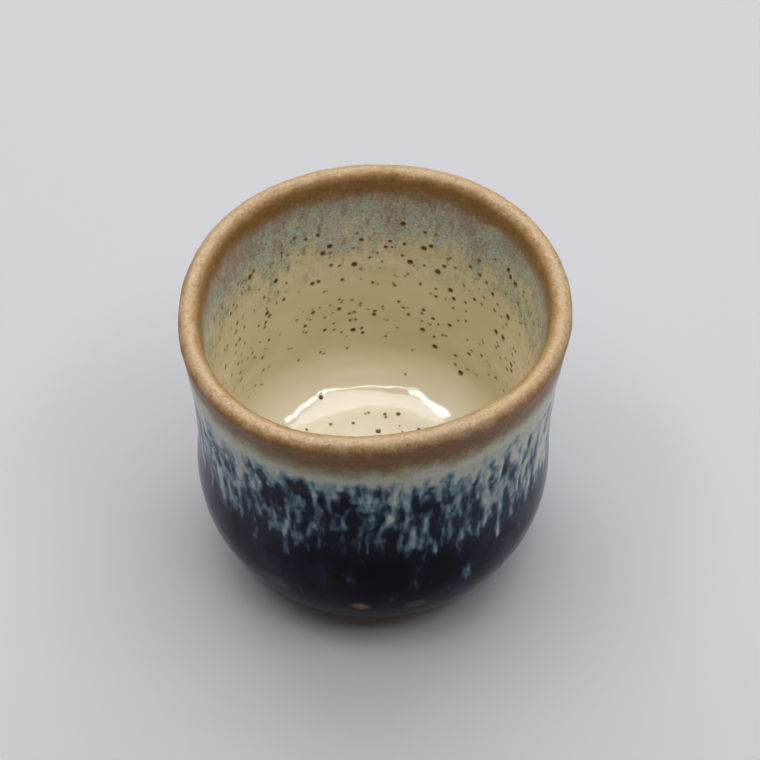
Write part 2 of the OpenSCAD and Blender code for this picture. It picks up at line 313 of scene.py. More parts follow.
class CupMap:
    """Values spread over the unrolled cup, which join up round it."""

    columns = 1024
    start, end, step = -82 * MM, 96 * MM, 0.2 * MM
    rows = round((end - start) / step)
    middling_r = 31 * MM
    column_w = FULL_TURN * middling_r / columns

    def __init__(self, values):
        self.values = values.astype(np.float32)

    def at(self, turn, way):
        """The values at places on the cup, drawn evenly between those of the map."""
        column = np.asarray(turn) / FULL_TURN % 1 * self.columns
        row = np.clip((np.asarray(way) - self.start) / self.step, 0, self.rows - 1.001)
        column, row = np.broadcast_arrays(column, row)
        left, low = column.astype(int), row.astype(int)
        across, up = column - left, row - low
        left, right = left % self.columns, (left + 1) % self.columns
        lower = self.values[low, left] * (1 - across) + self.values[low, right] * across
        upper = self.values[low + 1, left] * (1 - across) + self.values[low + 1, right] * across
        return lower * (1 - up) + upper * up

    def blurred(self, across, along):
        """The map with its detail spread by these lengths round the cup and along its section."""
        high = np.fft.fftfreq(self.rows)[:, None] * along / self.step
        wide = np.fft.rfftfreq(self.columns)[None] * across / self.column_w
        keep = np.exp(-2 * (np.pi * high) ** 2 - 2 * (np.pi * wide) ** 2)
        return CupMap(np.fft.irfft2(np.fft.rfft2(self.values) * keep, s=self.values.shape))

    @classmethod
    def places(cls):
        """The turn and way of every value."""
        return np.meshgrid(turns_round(cls.columns), cls.start + np.arange(cls.rows) * cls.step)


def noise(seed, across, along):
    """Smooth noise about 0, of deviation 1, with blotches of these lengths."""
    white = np.random.default_rng(seed).standard_normal((CupMap.rows, CupMap.columns))
    soft = CupMap(white).blurred(across, along).values
    return CupMap((soft - soft.mean()) / soft.std())


def draw_stroke(values, turn, way, width, length, strength, wander, bead):
    """Lays one run on a map: its middle wanders, and its lower end is a fatter bead.

    wander is how far it drifts aside, how fast it does so on its way down and where in that wave it starts.
    """
    step, column_w = CupMap.step, CupMap.column_w
    bead_at, bead_l = 0.93, 0.1
    neck_at, neck_l, neck = 0.55, 0.25, 0.25
    soft_sides, soft_ends, blunt = 2.6, 1.2, 1.3
    reach = int(soft_sides * width * bead / column_w) + 3
    low = int((way - length - soft_ends * width - CupMap.start) / step)
    high = int((way + soft_ends * width - CupMap.start) / step)
    rows = np.arange(low, high)
    fallen = (way - (CupMap.start + rows * step)) / length
    drift, pace, phase = wander
    middle = turn / FULL_TURN * CupMap.columns + drift * np.sin(pace * fallen + phase) / column_w
    columns = np.arange(int(middle.mean()) - reach, int(middle.mean()) + reach + 1)
    swell = (1 + (bead - 1) * np.exp(-((fallen - bead_at) / bead_l) ** 2)
             - neck * np.exp(-((fallen - neck_at) / neck_l) ** 2))
    across = (columns[None] - middle[:, None]) * column_w / (0.5 * width * swell[:, None])
    below = np.maximum(fallen - 1, 0) * length / (0.5 * width)
    above = np.maximum(-fallen, 0) * length / (0.5 * width)
    body = np.exp(-across ** 2 - (blunt * below[:, None]) ** 2 - above[:, None] ** 2)
    window = np.ix_(rows, columns % CupMap.columns)
    values[window] = 1 - (1 - values[window]) * (1 - np.clip(strength * body, 0, 1))


# How thick the second coat lies at ways in millimetres along the section, before its noise
COAT_WAYS = (-60, -44, -38, -33, -29, -24, -18, -14, -11.5, -9, 6.5, 9.5, 13, 17, 21, 30)
COAT_SHARES = (-2.2, -1.6, -0.76, -0.1, 0.19, 0.34, 0.44, 0.62, 0.92, 1.25,
               0.85, 0.72, 0.5, 0.2, -0.3, -2.2)
# Layers of its noise, outside and inside: a blotch's width round the cup, its length down it, and its weight
RUN_WISPS = ((4, 5, 0.05), (0.8, 1.9, 0.07), (0.36, 1.4, 0.13), (0.2, 0.7, 0.11))
VEIL_WISPS = ((5, 2.6, 0.12), (1.1, 1.6, 0.1), (0.24, 0.8, 0.14), (0.15, 0.4, 0.12))
# Where strokes and drips start, in millimetres below the crest, and how long strokes are
STROKE_STARTS, STROKE_LENGTHS, DRIP_STARTS = (8, 28.5), (1.8, 5.5), (19, 28)
# Their widths as shares of a drip's, and how strong they are
RUN_WIDTHS, RUN_STRENGTHS = (0.7, 1.7), (0.3, 0.9)
# How far and how fast they drift aside, and how much wider their beads are
RUN_DRIFTS, RUN_PACES, RUN_BEADS = (0.05, 0.4), (2, 6), (1, 1.5)
# Notches outside and stains inside: their nearest, likeliest and furthest way from the crest, their widths
# and their lengths, all in millimetres, and their strengths
NOTCHES = ((9.5, 12.5, 26), (0.5, 1.3), (0.6, 2.4), (0.4, 0.9))
STAINS = ((6, 12, 22), (0.45, 1.3), (0.3, 1.2), (0.25, 0.85))
# How far and fast notches drift aside, where any mark's wave starts, and how alike drips are in length
NOTCH_DRIFTS, NOTCH_PACES, PHASES, DRIP_LIKENESS = (0, 0.7), (2, 5), (0, 6.3), 4
# Bare places where the cup was held for dipping: turn in degrees, height, width, and how bare they are
FINGER_MARKS = ((266.5, 13.6, 3.4, 0.5), (284, 13.2, 3.2, 0.15), (238, 14.5, 5.0, 0.12))


class GlazeMaps:
    """How thick the second coat lies, what the kiln did to the surfaces, and a painted reflection on the dark
    coat's sides.
    """

    def __init__(self, form, glaze):
        self.form, self.glaze, seed = form, glaze, glaze.seed
        turn, way = CupMap.places()
        bend = noise(seed + 1, 1.6 * MM, 3.2 * MM).values * 0.25 * MM / form.size.lip_r
        streaks, mist = (sum(weight * noise(seed + first + i, across * MM, along * MM).at(turn + bend, way)
                             for i, (across, along, weight) in enumerate(layers))
                         for first, layers in ((30, RUN_WISPS), (40, VEIL_WISPS)))
        wisps = np.where(way < 0, streaks, mist)
        threads = noise(seed + 2, 0.8 * MM, 3.6 * MM).at(turn + bend, way)
        runs, drips, notches, stains = self.draw_marks(way)
        runs = np.maximum(runs, drips)

        # The coat lies thicker on the cup's two sides, most on the right, and its threads cross lower down
        beside = 0.06 + 0.18 * np.cos(2 * turn) + 0.12 * np.cos(turn)
        level = np.interp(way / MM, COAT_WAYS, COAT_SHARES) + np.where(way < 0, beside, 0)
        lace = 0.12 * (0.8 - abs(threads)) * np.exp(-((way / MM + 23) / 9) ** 2)
        thick = level + wisps + lace + 0.5 * runs - 0.6 * notches
        thick = np.maximum(thick, 0.75 * drips - 0.15 + wisps)
        self.second_coat = CupMap(np.clip(thick, -0.3, 1.3)).blurred(0.13 * MM, 0.24 * MM)
        self.cover = CupMap(np.clip(thick, 0, 1)).blurred(0.3 * MM, 0.4 * MM)

        # The dark coat is milkier near the second one, and lighter on both sides in cloudy smears that are a
        # painted reflection of the table
        painted_side_sheen = 0.3 * noise(seed + 9, 3 * MM, 5 * MM).values + 1.4 * (abs(np.cos(turn)) - 0.45) + 0.3
        haze_and_painted_sheen = 0.5 * np.clip(thick + 0.35, 0, 1) + 0.8 * smooth(painted_side_sheen)
        self.halo = CupMap(haze_and_painted_sheen).blurred(0.9 * MM, 1.6 * MM)
        self.beads = CupMap(runs * np.clip(thick, 0, 1)).blurred(0.2 * MM, 0.3 * MM)
        self.stains = CupMap(stains)
        self.ripple = noise(seed + 5, 26 * MM, 1.3 * MM)
        self.swell = noise(seed + 6, 9 * MM, 5 * MM)
        self.grit = noise(seed + 7, 0.28 * MM, 0.28 * MM)
        self.lumps = noise(seed + 8, 1.1 * MM, 0.9 * MM)
        self.pits = Pinholes(form, glaze)

    def draw_marks(self, way):
        """Values for the strokes, drips, notches and stains, each drawn at random from its ranges."""
        glaze, rng = self.glaze, np.random.default_rng(self.glaze.seed)
        runs, drips, notches, stains = (np.zeros_like(way) for _ in range(4))
        for layer, count in ((runs, glaze.stroke_count), (drips, glaze.drip_count)):
            for place in (np.arange(count) + rng.uniform(-0.6, 0.6, count)) * FULL_TURN / count:
                if layer is runs:
                    start, length = rng.uniform(*STROKE_STARTS), rng.uniform(*STROKE_LENGTHS) * MM
                else:
                    start = rng.uniform(*DRIP_STARTS)
                    length = rng.gamma(DRIP_LIKENESS, glaze.drip_mean / DRIP_LIKENESS)
                    length = min(length, glaze.drip_longest)
                width, strength = glaze.drip_w * rng.uniform(*RUN_WIDTHS), rng.uniform(*RUN_STRENGTHS)
                wander = (rng.uniform(*RUN_DRIFTS) * MM, rng.uniform(*RUN_PACES), rng.uniform(*PHASES))
                draw_stroke(layer, place, -start * MM, width, length, strength, wander,
                            rng.uniform(*RUN_BEADS))
        for layer, side, count, (ways, widths, lengths, strengths) in (
                (notches, -1, glaze.notch_count, NOTCHES), (stains, 1, glaze.stain_count, STAINS)):
            for _ in range(count):
                place, start = rng.uniform(0, FULL_TURN), side * rng.triangular(*ways) * MM
                width, length = rng.uniform(*widths) * MM, rng.uniform(*lengths) * MM
                strength, drift, pace, phase = rng.uniform(*strengths), 0, 0, 0
                if layer is notches:
                    drift, pace = rng.uniform(*NOTCH_DRIFTS) * MM, rng.uniform(*NOTCH_PACES)
                    phase = rng.uniform(*PHASES)
                draw_stroke(layer, place, start, width, length, strength, (drift, pace, phase), 1)
        return runs, drips, notches, stains

    def rings(self, turn, way):
        """The throwing rings, as a depth: a slow spiral that the fingers left, never quite even."""
        pitch, rise = self.glaze.ring_pitch, self.glaze.ring_rise
        spiral = np.sin(FULL_TURN * way / pitch + turn + 1.4 * self.swell.at(turn, way))
        return rise * (0.55 * spiral + 0.45 * self.ripple.at(turn, way))

    def outside_depth(self, turn, way):
        """Depth of the outside surface where the second coat lies on the dark one."""
        band = smooth((way + 14 * MM) / (4 * MM) + 0.5)
        cover = np.maximum(band, 0.45 * self.cover.at(turn, way))
        proud = self.form.size.over_t * cover + self.glaze.bead_t * (1 - band) * self.beads.at(turn, way)
        surface = 0.5 * self.rings(turn, way) - proud + 0.02 * MM * self.swell.at(turn, way)
        return np.minimum(surface, -THINNEST)

    def burnt_way(self, turn, way):
        """The way in millimetres, shifted where the brown zone is narrower: less in front, more beside."""
        beside = smooth(-way / (5 * MM)) * smooth((way + 22 * MM) / (8 * MM))
        return way / MM - beside * (0.9 * (1 + np.cos(2 * turn)) / 2 + 1.5 * np.maximum(-np.cos(turn), 0))

    def bare(self, turn, way):
        """How bare of glaze the finger marks are, from 0 to 1."""
        worn = np.zeros(np.broadcast(turn, way).shape)
        ragged = 0.35 * self.lumps.at(turn, way)
        for degrees, height, width, strength in FINGER_MARKS:
            across = (turn - math.radians(degrees)) * self.form.size.belly_r
            along = way - self.form.way_outside(height * MM)
            apart = np.hypot(across / (0.5 * width * MM), along / (0.27 * width * MM))
            worn = np.maximum(worn, strength * (1 - smooth((apart - 0.2 + ragged) / 1.5)))
        return worn

    def foot_way(self):
        """The way of the dark coat's lower edge."""
        size = self.form.size
        return self.form.way_outside(size.foot_h + size.glaze_stop)

    def lip_depth(self, turn, way):
        """Depth of the lip's surface: thin, dry glaze over grit, which runs on into its neighbours."""
        grain = 0.014 * MM * self.grit.at(turn, way) + 0.022 * MM * self.lumps.at(turn, way)
        ends = np.where(way < 0, self.outside_depth(turn, way), self.inside_depth(turn, way))
        share = smooth((abs(way) - 4 * MM) / (4 * MM))
        return (1 - share) * (grain - self.form.size.over_t) + share * ends

    def veil_share(self, way):
        """How much of the second coat is left at a way inside, from 1 at the lip to 0."""
        size, glaze = self.form.size, self.glaze
        return smooth((glaze.veil_fade - 0.9 * MM - way) / (glaze.veil_fade - size.lip_in))

    def inside_depth(self, turn, way):
        """Depth of the inside's surface before its pinholes: the rings die out in the well."""
        veil = self.form.size.over_t * self.veil_share(way)
        lumps, swell = 0.016 * MM * self.lumps.at(turn, way), 0.03 * MM * self.swell.at(turn, way)
        centre = smooth((self.form.way[-1] - way) / (8 * MM))
        well = 1 - 0.75 * smooth((way - self.form.way_inside(self.form.well_z)) / (3 * MM))
        thrown = centre * (well * (self.rings(turn, way) + swell) + lumps)
        return thrown - veil * (0.8 + 0.2 * self.cover.at(turn, way))

    def glazed(self, turn, way, colour_way, **others):
        """The numbers that a coat's colours go by, with colour_way as the way that they take it to be."""
        return {"way": colour_way, "second_coat": self.second_coat.at(turn, way), **others}


class Pinholes:
    """Pinholes that gas left in the inside glazes: a dark hole in the middle of a shallow dimple."""

    # How unlike they are in size, and the least and the most of a middling one's radius that they have
    spread, least, most = 0.38, 0.5, 2.0
    # How many have a twin, how many radii off it is, and its share of their radius
    twin_share, twins_apart, twin_sizes = 0.3, (2.4, 4), (0.5, 0.95)
    clearance, least_gap = 0.9 * MM, 0.12 * MM

    def __init__(self, form, glaze):
        self.form = form
        self.holes = []
        rng = np.random.default_rng(glaze.seed + 20)
        top, wall_end, end = 11 * MM, form.way_inside(form.well_z + 1 * MM), form.way[-1] - 3 * MM
        # The share of tries that is kept, up to each way: few in the well's corner, more above and below it
        zones = ((top + 5 * MM, 0.75), (wall_end - 5 * MM, 1), (wall_end + 2 * MM, 0.7),
                 (form.way[-1] - 18 * MM, 0.07), (end, 0.6))
        while len(self.holes) < glaze.pit_count:
            way, turn = rng.uniform(top, end), rng.uniform(0, FULL_TURN)
            kept = next(share for limit, share in zones if way <= limit)
            if rng.uniform() > form.radius(way) / form.size.lip_r * kept:
                continue
            radius = glaze.pit_r * np.clip(rng.lognormal(0.0, self.spread), self.least, self.most)
            self.add(turn, way, radius, self.clearance)
            if rng.uniform() < self.twin_share:
                apart, towards = radius * rng.uniform(*self.twins_apart), rng.uniform(0, FULL_TURN)
                self.add(turn + apart * np.cos(towards) / form.radius(way), way + apart * np.sin(towards),
                         radius * rng.uniform(*self.twin_sizes), self.least_gap)
        self.turns, self.ways, self.radii = np.array(self.holes).T
        across, along = self.offset(self.turns[:, None], self.ways[:, None], self.turns, self.ways)
        apart = np.hypot(across, along) + np.eye(len(self.turns))
        self.pulls = np.minimum(3 * self.radii, 0.5 * apart.min(1))

    def add(self, turn, way, radius, clearance):
        """Adds a pinhole where it stays clear of the others."""
        for other_turn, other_way, other_radius in self.holes:
            apart = math.hypot(*self.offset(turn, way, other_turn, other_way))
            if apart < radius + other_radius + clearance:
                return
        self.holes.append((turn, way, radius))

    def near(self, turns, ways, reaches):
        """For each pinhole, its number and the block of a grid's rows and columns that it reaches."""
        for number, (turn, way, reach) in enumerate(zip(self.turns, self.ways, reaches)):
            across, along = self.offset(turn, way, turns, ways)
            rows, columns = np.flatnonzero(abs(along) < reach), np.flatnonzero(abs(across) < reach)
            if len(rows) and len(columns):
                yield number, np.ix_(rows, columns)

    def offset(self, turn, way, other_turn, other_way):
        """How far other places are from one place, round the cup and along its section."""
        across = ((other_turn - turn + np.pi) % FULL_TURN - np.pi) * self.form.radius(way)
        return across, other_way - way

    def gathered(self, turns, ways):
        """A grid of turns and ways whose lines are drawn together round each pinhole."""
        turn_grid, way_grid = np.meshgrid(turns, ways)
        inner = smooth(np.minimum(ways - ways[0], ways[-1] - ways) / (0.6 * MM))
        for number, block in self.near(turns, ways, self.pulls):
            way, pull = self.ways[number], self.pulls[number]
            across, along = self.offset(self.turns[number], way, turn_grid[block], way_grid[block])
            apart = np.hypot(across, along) / pull
            shift = np.where(apart < 1, np.maximum(apart, 1e-6) ** 0.5 - 1, 0) * inner[block[0]]
            turn_grid[block] += across * shift / self.form.radius(way)
            way_grid[block] += along * shift
        return turn_grid, way_grid

    def hollows(self, turns, ways, turn_grid, way_grid):
        """The distance to the nearest pinhole's edge, and how deep the pinholes are, over a grid."""
        # How deep or high each part is, where it is and how wide, all in radii of the pinhole
        hole_depth, side_at, side_w = 0.6, 0.6, 0.45
        rim_rise, rim_at, rim_w = 0.24, 1.4, 0.38
        dimple_depth, dimple_w = 0.12, 1.9
        shaped_to, felt_to = 3.5, 5
        # The radius above which a hole is no deeper, and the distance that stands for far from any
        deepest_r, far_off = 0.4 * MM, 0.6 * MM
        edge, depth = np.full(turn_grid.shape, far_off), np.zeros(turn_grid.shape)
        for number, block in self.near(turns, ways, felt_to * self.radii):
            turn, way, radius = self.turns[number], self.ways[number], self.radii[number]
            apart = np.hypot(*self.offset(turn, way, turn_grid[block], way_grid[block]))
            edge[block] = np.minimum(edge[block], apart - radius)
            hole = hole_depth * min(radius, deepest_r) * (1 - smooth((apart / radius - side_at) / side_w))
            rim = rim_rise * radius * np.exp(-((apart / radius - rim_at) / rim_w) ** 2)
            dimple = dimple_depth * radius * np.exp(-(apart / (dimple_w * radius)) ** 2)
            raised = np.where(apart < shaped_to * radius, hole - rim + dimple, 0)
            depth[block] = np.where(abs(raised) > abs(depth[block]), raised, depth[block])
        return edge, depth


def columns_round(columns):
    """The numbers of a ring's points, and of the points beside them."""
    around = np.arange(columns)
    return around, (around + 1) % columns


def grid_faces(rows, columns, first, turned):
    """Quads over a grid that goes right round, counted from its first point."""
    row, column = np.meshgrid(np.arange(rows - 1), np.arange(columns), indexing="ij")
    here, beside = row * columns + column, row * columns + (column + 1) % columns
    corners = [here, beside, beside + columns, here + columns]
    return first + np.stack(corners[::-1] if turned else corners, -1).reshape(-1, 4)


def fan(first, second, middle):
    """Triangles from a ring to one point in its middle."""
    return np.stack([first, second, np.full(len(first), middle)], -1)


def grid_normals(points):
    """Outward unit normals over a grid of points that goes right round."""
    across = np.roll(points, -1, 1) - np.roll(points, 1, 1)
    along = np.gradient(points, axis=0)
    normals = np.cross(across, along)
    return normals / np.maximum(np.linalg.norm(normals, axis=-1, keepdims=True), 1e-12)


def make_mesh(name, points, normals, quads, triangles, values):
    """A mesh object from blocks of points, their normals and their faces, with these values on its points."""
    points, normals, quads = (np.concatenate(blocks) for blocks in (points, normals, quads))
    triangles = np.concatenate([np.zeros((0, 3), int), *triangles])
    corners = np.concatenate([quads.ravel(), triangles.ravel()])
    starts = np.concatenate([4 * np.arange(len(quads)), 4 * len(quads) + 3 * np.arange(len(triangles))])
    mesh = bpy.data.meshes.new(name)
    mesh.vertices.add(len(points))
    mesh.vertices.foreach_set("co", points.astype(np.float32).ravel())
    mesh.loops.add(len(corners))
    mesh.loops.foreach_set("vertex_index", corners.astype(np.int32))
    mesh.polygons.add(len(starts))
    mesh.polygons.foreach_set("loop_start", starts.astype(np.int32))
    mesh.update(calc_edges=True)
    mesh.polygons.foreach_set("use_smooth", np.ones(len(starts), bool))
    mesh.normals_split_custom_set_from_vertices(normals.astype(np.float32))
    for label, numbers in values.items():
        attribute = mesh.attributes.new(label, "FLOAT", "POINT")
        attribute.data.foreach_set("value", numbers.astype(np.float32))
    if mesh.validate():
        raise RuntimeError(f"{name} has faces that don't hold together")
    piece = bpy.data.objects.new(name, mesh)
    bpy.context.scene.collection.objects.link(piece)
    return piece


def make_shell(name, form, columns, ways, depth, under_ways, under_depth, hidden_ways=(), gather=np.meshgrid,
               sunk=None):
    """A coat as a closed shell: its fine surface, a plain one under it and the strips that join them.

    The surface starts with hidden_ways, plain rows that another coat covers. It is closed at the
    middle of the floor where its last way is the section's end. gather draws the grid together, and sunk is
    the way from which rows sink under another coat, with their depth there.
    """
    turns = turns_round(columns)
    closed = ways[-1] >= form.way[-1] - 1e-9
    beyond = [] if closed else [2 * ways[-1] - ways[-2]]
    before = [] if len(hidden_ways) else [2 * ways[0] - ways[1]]
    shown = np.concatenate([before, ways, beyond])
    turn_grid, way_grid = gather(turns, shown)
    depth_grid, numbers = depth(turns, shown, turn_grid, way_grid)
    top = form.at(turn_grid, way_grid, depth_grid)
    normals = grid_normals(top)
    if sunk:
        low = form.at(turn_grid, way_grid, sunk[1])
        top = np.where(way_grid[..., None] > sunk[0], low, top)
    kept = slice(len(before), len(shown) - len(beyond))
    top, normals = top[kept], normals[kept]
    numbers = {label: grid[kept] for label, grid in numbers.items()}
    if len(hidden_ways):
        covered = form.at(*np.meshgrid(turns, hidden_ways), HIDDEN_DEPTH)
        top = np.concatenate([covered, top])
        normals = np.concatenate([grid_normals(covered), normals])
        numbers = {label: np.concatenate([np.repeat(grid[:1], len(hidden_ways), 0), grid])
                   for label, grid in numbers.items()}
    under = form.at(*np.meshgrid(turns, under_ways), under_depth)
    second, middle = len(top) * columns, (len(top) + len(under)) * columns
    last, last_under = second - columns, middle - columns
    around, beside = columns_round(columns)
    quads = [grid_faces(len(top), columns, 0, False), grid_faces(len(under), columns, second, True),
             np.stack([around, second + around, second + beside, beside], -1)]
    triangles = []
    points = [top.reshape(-1, 3), under.reshape(-1, 3)]
    normals = [normals.reshape(-1, 3), -grid_normals(under).reshape(-1, 3)]
    if closed:
        points.append(np.array([top[-1].mean(0), under[-1].mean(0)]))
        normals.append(np.array([[0, 0, 1.0], [0, 0, -1.0]]))
        triangles = [fan(last + around, last + beside, middle),
                     fan(last_under + beside, last_under + around, middle + 1)]
    else:
        quads.append(np.stack([last + beside, last_under + beside, last_under + around, last + around], -1))
    for label, grid in numbers.items():
        rest = np.full(sum(map(len, points)) - grid.size, grid[-1].mean())
        numbers[label] = np.concatenate([grid.ravel(), rest])
    return make_mesh(name, points, normals, quads, triangles, numbers)


def make_solid(name, points, joined):
    """A closed solid from rings of points: the last joins the first, or both ends close at their middles."""
    rows, columns = points.shape[:2]
    around, beside = columns_round(columns)
    last, middle = (rows - 1) * columns, rows * columns
    quads, triangles = [grid_faces(rows, columns, 0, False)], []
    blocks, normals = [points.reshape(-1, 3)], [grid_normals(points).reshape(-1, 3)]
    if joined:
        quads.append(np.stack([last + around, last + beside, beside, around], -1))
    else:
        blocks.append(np.array([points[0].mean(0), points[-1].mean(0)]))
        normals.append(np.array([[0, 0, -1.0], [0, 0, 1.0]]))
        triangles = [fan(beside, around, middle), fan(last + around, last + beside, middle + 1)]
    return make_mesh(name, blocks, normals, quads, triangles, {})


def add(tree, kind, inputs=(), stops=(), output=0, **settings):
    """Adds a node with its settings, inputs and colour stops, and returns the output that is asked for.

    The inputs come in order, or by label or number. Each is a link, a value or an sRGB hex colour. A constant
    goes into the node's own socket.
    """
    node = tree.nodes.new(kind)
    for label, value in settings.items():
        setattr(node, label, value)
    for label, value in inputs.items() if isinstance(inputs, dict) else enumerate(inputs):
        if isinstance(value, bpy.types.NodeSocket):
            tree.links.new(value, node.inputs[label])
        else:
            node.inputs[label].default_value = linear(value) if isinstance(value, str) else value
    if stops:
        elements = node.color_ramp.elements
        while len(elements) < len(stops):
            elements.new(1)
        for element, (place, colour) in zip(elements, stops):
            element.position, element.color = place, linear(colour) if isinstance(colour, str) else colour
    return node.outputs[output] if node.outputs else node


# What sets a Mix node to colours: then its input 0 is the second colour's share, and 6 and 7 are the colours
COLOURS = {"data_type": "RGBA", "output": 2}


def grain_size(length):
    """A noise scale, in blotches a metre, from the real size of one blotch."""
    return 1 / length


def new_material(name):
    """A material without nodes, and its node tree."""
    material = bpy.data.materials.new(name)
    material.use_nodes = True
    material.node_tree.nodes.clear()
    return material, material.node_tree


def glaze_colours(tree, glaze):
    """What all glazes share: the place, the way, how thick the second coat looks, and its colour."""
    place = add(tree, "ShaderNodeTexCoord", output="Object")
    upright = add(tree, "ShaderNodeMapping", {"Vector": place, "Scale": (1, 1, 0.3)})
    way, thick, halo = (add(tree, "ShaderNodeAttribute", attribute_name=name, output="Fac")
                        for name in ("way", "second_coat", "halo"))
    fibres, clouds = (
        add(tree, "ShaderNodeMapRange", [add(tree, "ShaderNodeTexNoise", {
            "Vector": where, "Scale": grain_size(length), "Detail": 3.0}), 0, 1, -0.5, 0.5])
        for where, length in ((upright, 0.45 * MM), (place, 3.5 * MM)))
    stirred, frayed = (add(tree, "ShaderNodeMath", [fibres, weight, number], operation="MULTIPLY_ADD")
                       for weight, number in ((0.45, thick), (1.7, way)))
    wander = add(tree, "ShaderNodeMath", [clouds, 4.0, frayed], operation="MULTIPLY_ADD")
    browned, streaky, up_outside, toasted, down_inside, veiled, past_crest = (
        add(tree, "ShaderNodeMapRange", [number, low, high]) for number, low, high in (
            (clouds, -0.05, 0.25), (stirred, 0.02, 0.28), (wander, -11.5, -0.5), (wander, -11.5, -9.5),
            (wander, 0.0, 8.0), (wander, 4.8, 7.6), (way, -0.5, 0.5)))

    # Upwards outside: near-black with milky clouds, lighter on both sides as a painted reflection, brown
    # clouds, blue streaks, the pale band, toasted brown
    # Painted reflection: the near-black is mixed towards milky grey near the streaks and on the cup's two
    # sides
    dark = add(tree, "ShaderNodeMix", {0: halo, 6: glaze.dark, 7: "#303141"}, **COLOURS)
    dark = add(tree, "ShaderNodeMix", {0: browned, 6: dark, 7: "#100C0C"}, **COLOURS)
    streaks = add(tree, "ShaderNodeValToRGB", [stirred], [
        (0.08, "#181E2F"), (0.28, "#2C3947"), (0.48, "#4C616D"), (0.68, "#748990"), (0.88, "#979F9B"),
        (1.0, "#AEB0A4")])
    streaked = add(tree, "ShaderNodeMix", {0: streaky, 6: dark, 7: streaks}, **COLOURS)
    # The last stop, at the crest, is paler: partly thin glaze over the crest and partly a painted highlight
    toast = add(tree, "ShaderNodeValToRGB", [up_outside], [
        (0.0, "#B0B2A4"), (0.2, "#A6A592"), (0.34, "#898369"), (0.45, "#765F38"), (0.56, "#6B4810"),
        (0.8, glaze.toast), (0.95, "#8D785A")])
    outside = add(tree, "ShaderNodeMix", {0: toasted, 6: streaked, 7: toast}, **COLOURS)

    # Downwards inside: the crest's brown, palest at the crest itself, partly thin glaze and partly a painted
    # highlight, then a greyish veil that is speckled like ash
    crest = add(tree, "ShaderNodeValToRGB", [down_inside], [
        (0.0, "#8D785A"), (0.12, "#836945"), (0.42, "#765628"), (0.6, "#7E664E"), (0.8, "#897E70")])
    veil = add(tree, "ShaderNodeValToRGB", [stirred], [
        (0.0, "#B2A985"), (0.35, "#9F9E86"), (0.6, "#989F96"), (0.85, "#96958B"), (1.0, "#8F857A")])
    speckle = add(tree, "ShaderNodeValToRGB", [add(tree, "ShaderNodeTexNoise", {
        "Vector": place, "Scale": grain_size(0.45 * MM), "Detail": 3.0, "Roughness": 0.6})], [
        (0.36, "#6F6250"), (0.5, "#BCBCB4"), (0.62, "#E6ECEA")])
    veil = add(tree, "ShaderNodeMix", {0: 0.4, 6: veil, 7: speckle}, blend_type="OVERLAY", **COLOURS)
    inside = add(tree, "ShaderNodeMix", {0: veiled, 6: crest, 7: veil}, **COLOURS)
    return place, way, stirred, add(tree, "ShaderNodeMix", {0: past_crest, 6: outside, 7: inside}, **COLOURS)


def runny_glaze(glaze):
    """Rutile over tenmoku: a glossy, near-black iron glaze, streaked pale blue where the second coat ran."""
    material, tree = new_material("rutile_over_tenmoku_glaze")
    place, _, _, colour = glaze_colours(tree, glaze)
    bare = add(tree, "ShaderNodeAttribute", attribute_name="bare", output="Fac")
    bubbles = add(tree, "ShaderNodeTexNoise", {"Vector": place, "Scale": grain_size(0.8 * MM), "Detail": 2.0})
    shader = add(tree, "ShaderNodeBsdfPrincipled", {
        "Base Color": add(tree, "ShaderNodeMix", {0: bare, 6: colour, 7: "#A5866A"}, **COLOURS),
        "Roughness": add(tree, "ShaderNodeMapRange", [bare, 0, 1, 0.16, 0.7]),
        "Normal": add(tree, "ShaderNodeBump", {"Height": bubbles, "Strength": 0.12, "Distance": 0.05 * MM}),
        "IOR": 1.5, "Specular IOR Level": 0.03,
        "Sheen Weight": 0.1, "Sheen Roughness": 0.35, "Sheen Tint": "#C9C6DC"})
    add(tree, "ShaderNodeOutputMaterial", [shader])
    return material


def toasted_lip(glaze):
    """The second coat where it is thin over the crest: satin, toasted brown, speckled by iron in the clay."""
    material, tree = new_material("toasted_thin_glaze")
    place, way, _, colour = glaze_colours(tree, glaze)
    specks = add(tree, "ShaderNodeTexNoise", {
        "Vector": place, "Scale": grain_size(0.5 * MM), "Detail": 4.0, "Roughness": 0.65})
    light = add(tree, "ShaderNodeValToRGB", [specks], [
        (0.3, "#6E4F2C"), (0.42, "#B5B0A8"), (0.58, "#C8C4BC"), (0.72, "#FFF4DC")])
    upper = add(tree, "ShaderNodeMapRange", [way, -10.5, -7.0, 0, 0.6])
    inner = add(tree, "ShaderNodeMapRange", [way, 9.0, 5.0])
    share = add(tree, "ShaderNodeMath", [upper, inner], operation="MULTIPLY")
    speckled = add(tree, "ShaderNodeMix", {0: share, 6: colour, 7: light}, blend_type="OVERLAY", **COLOURS)
    iron = add(tree, "ShaderNodeTexNoise", {"Vector": place, "Scale": grain_size(1.1 * MM), "Detail": 3.0})
    spots = add(tree, "ShaderNodeMapRange", [iron, 0.64, 0.74, 0, 0.6])
    shader = add(tree, "ShaderNodeBsdfPrincipled", {
        "Base Color": add(tree, "ShaderNodeMix", {0: spots, 6: speckled, 7: "#5A3A1C"}, **COLOURS),
        "Normal": add(tree, "ShaderNodeBump", {"Height": specks, "Strength": 0.35, "Distance": 0.12 * MM}),
        "Roughness": 0.34, "IOR": 1.5, "Specular IOR Level": 0.32})
    add(tree, "ShaderNodeOutputMaterial", [shader])
    return material


